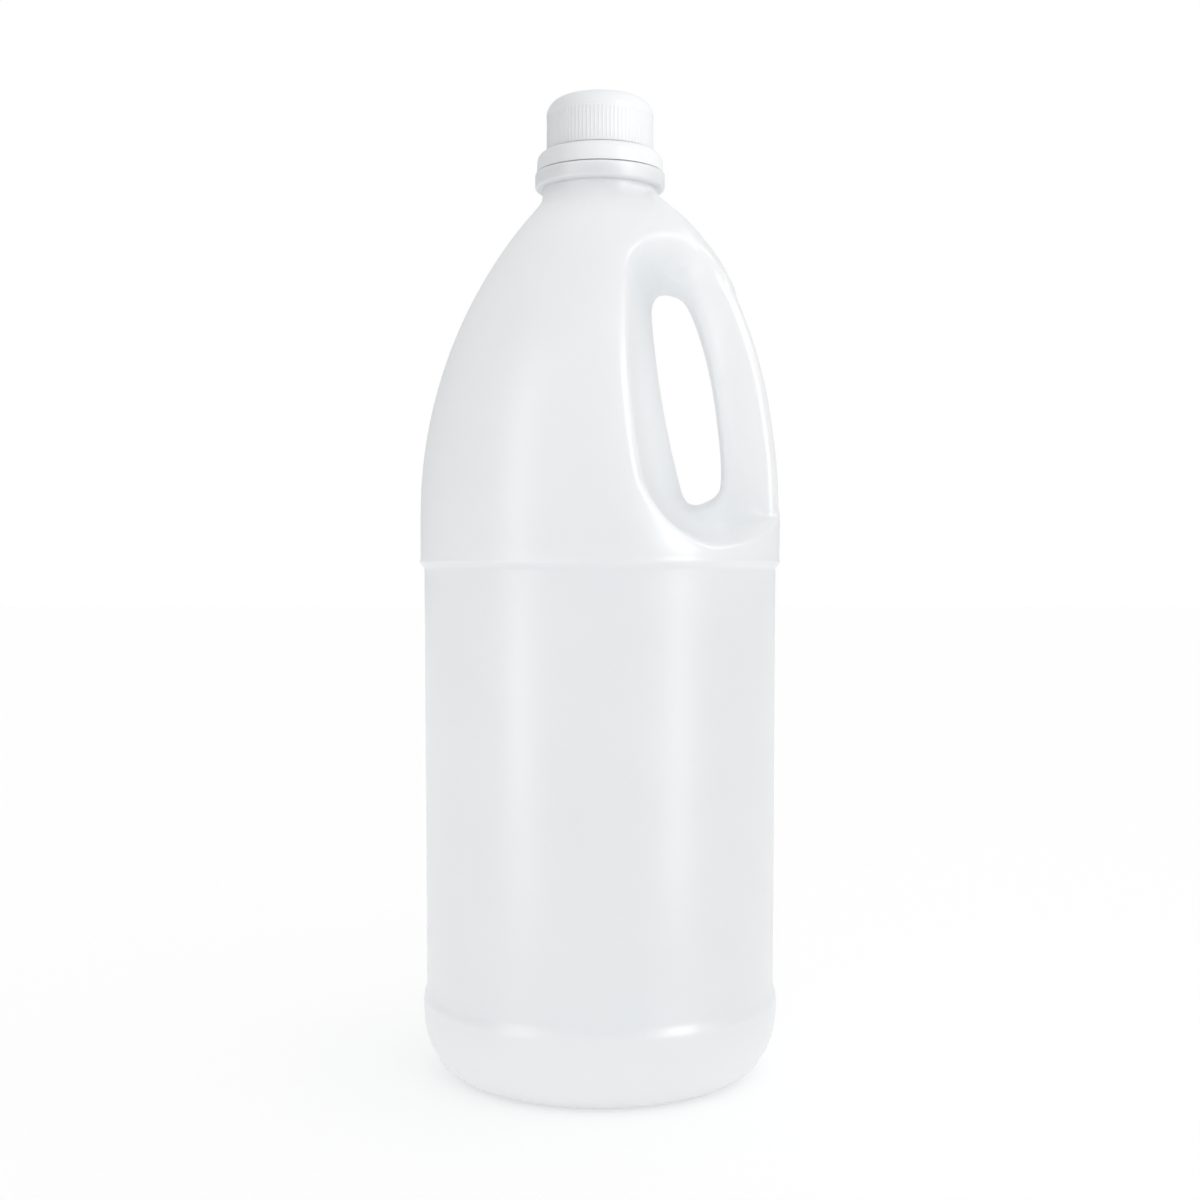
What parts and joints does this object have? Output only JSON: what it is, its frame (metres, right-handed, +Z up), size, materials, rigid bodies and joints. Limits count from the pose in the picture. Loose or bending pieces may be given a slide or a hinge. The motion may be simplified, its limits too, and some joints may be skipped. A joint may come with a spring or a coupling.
{
  "type": "bleach jug",
  "caption": "Tall round blow-moulded plastic jug with a moulded finger handle in its tapered shoulder, a ribbed screw cap and a tamper band; stands on a flat base.",
  "frame": {"origin": "centre of the base, on the floor", "axes": "+Z up along the jug's axis, +X towards the handle, the pictured side faces -Y"},
  "size_m": [0.114, 0.114, 0.3075],
  "materials": {
    "jug": "milky blow-moulded polyethylene, satin",
    "cap": "opaque white moulded polypropylene",
    "tamper_band": "opaque white moulded polypropylene"
  },
  "bodies": {
    "root": {"jug": "jug", "cap": "cap", "tamper_band": "tamper_band"}
  },
  "joints": []
}
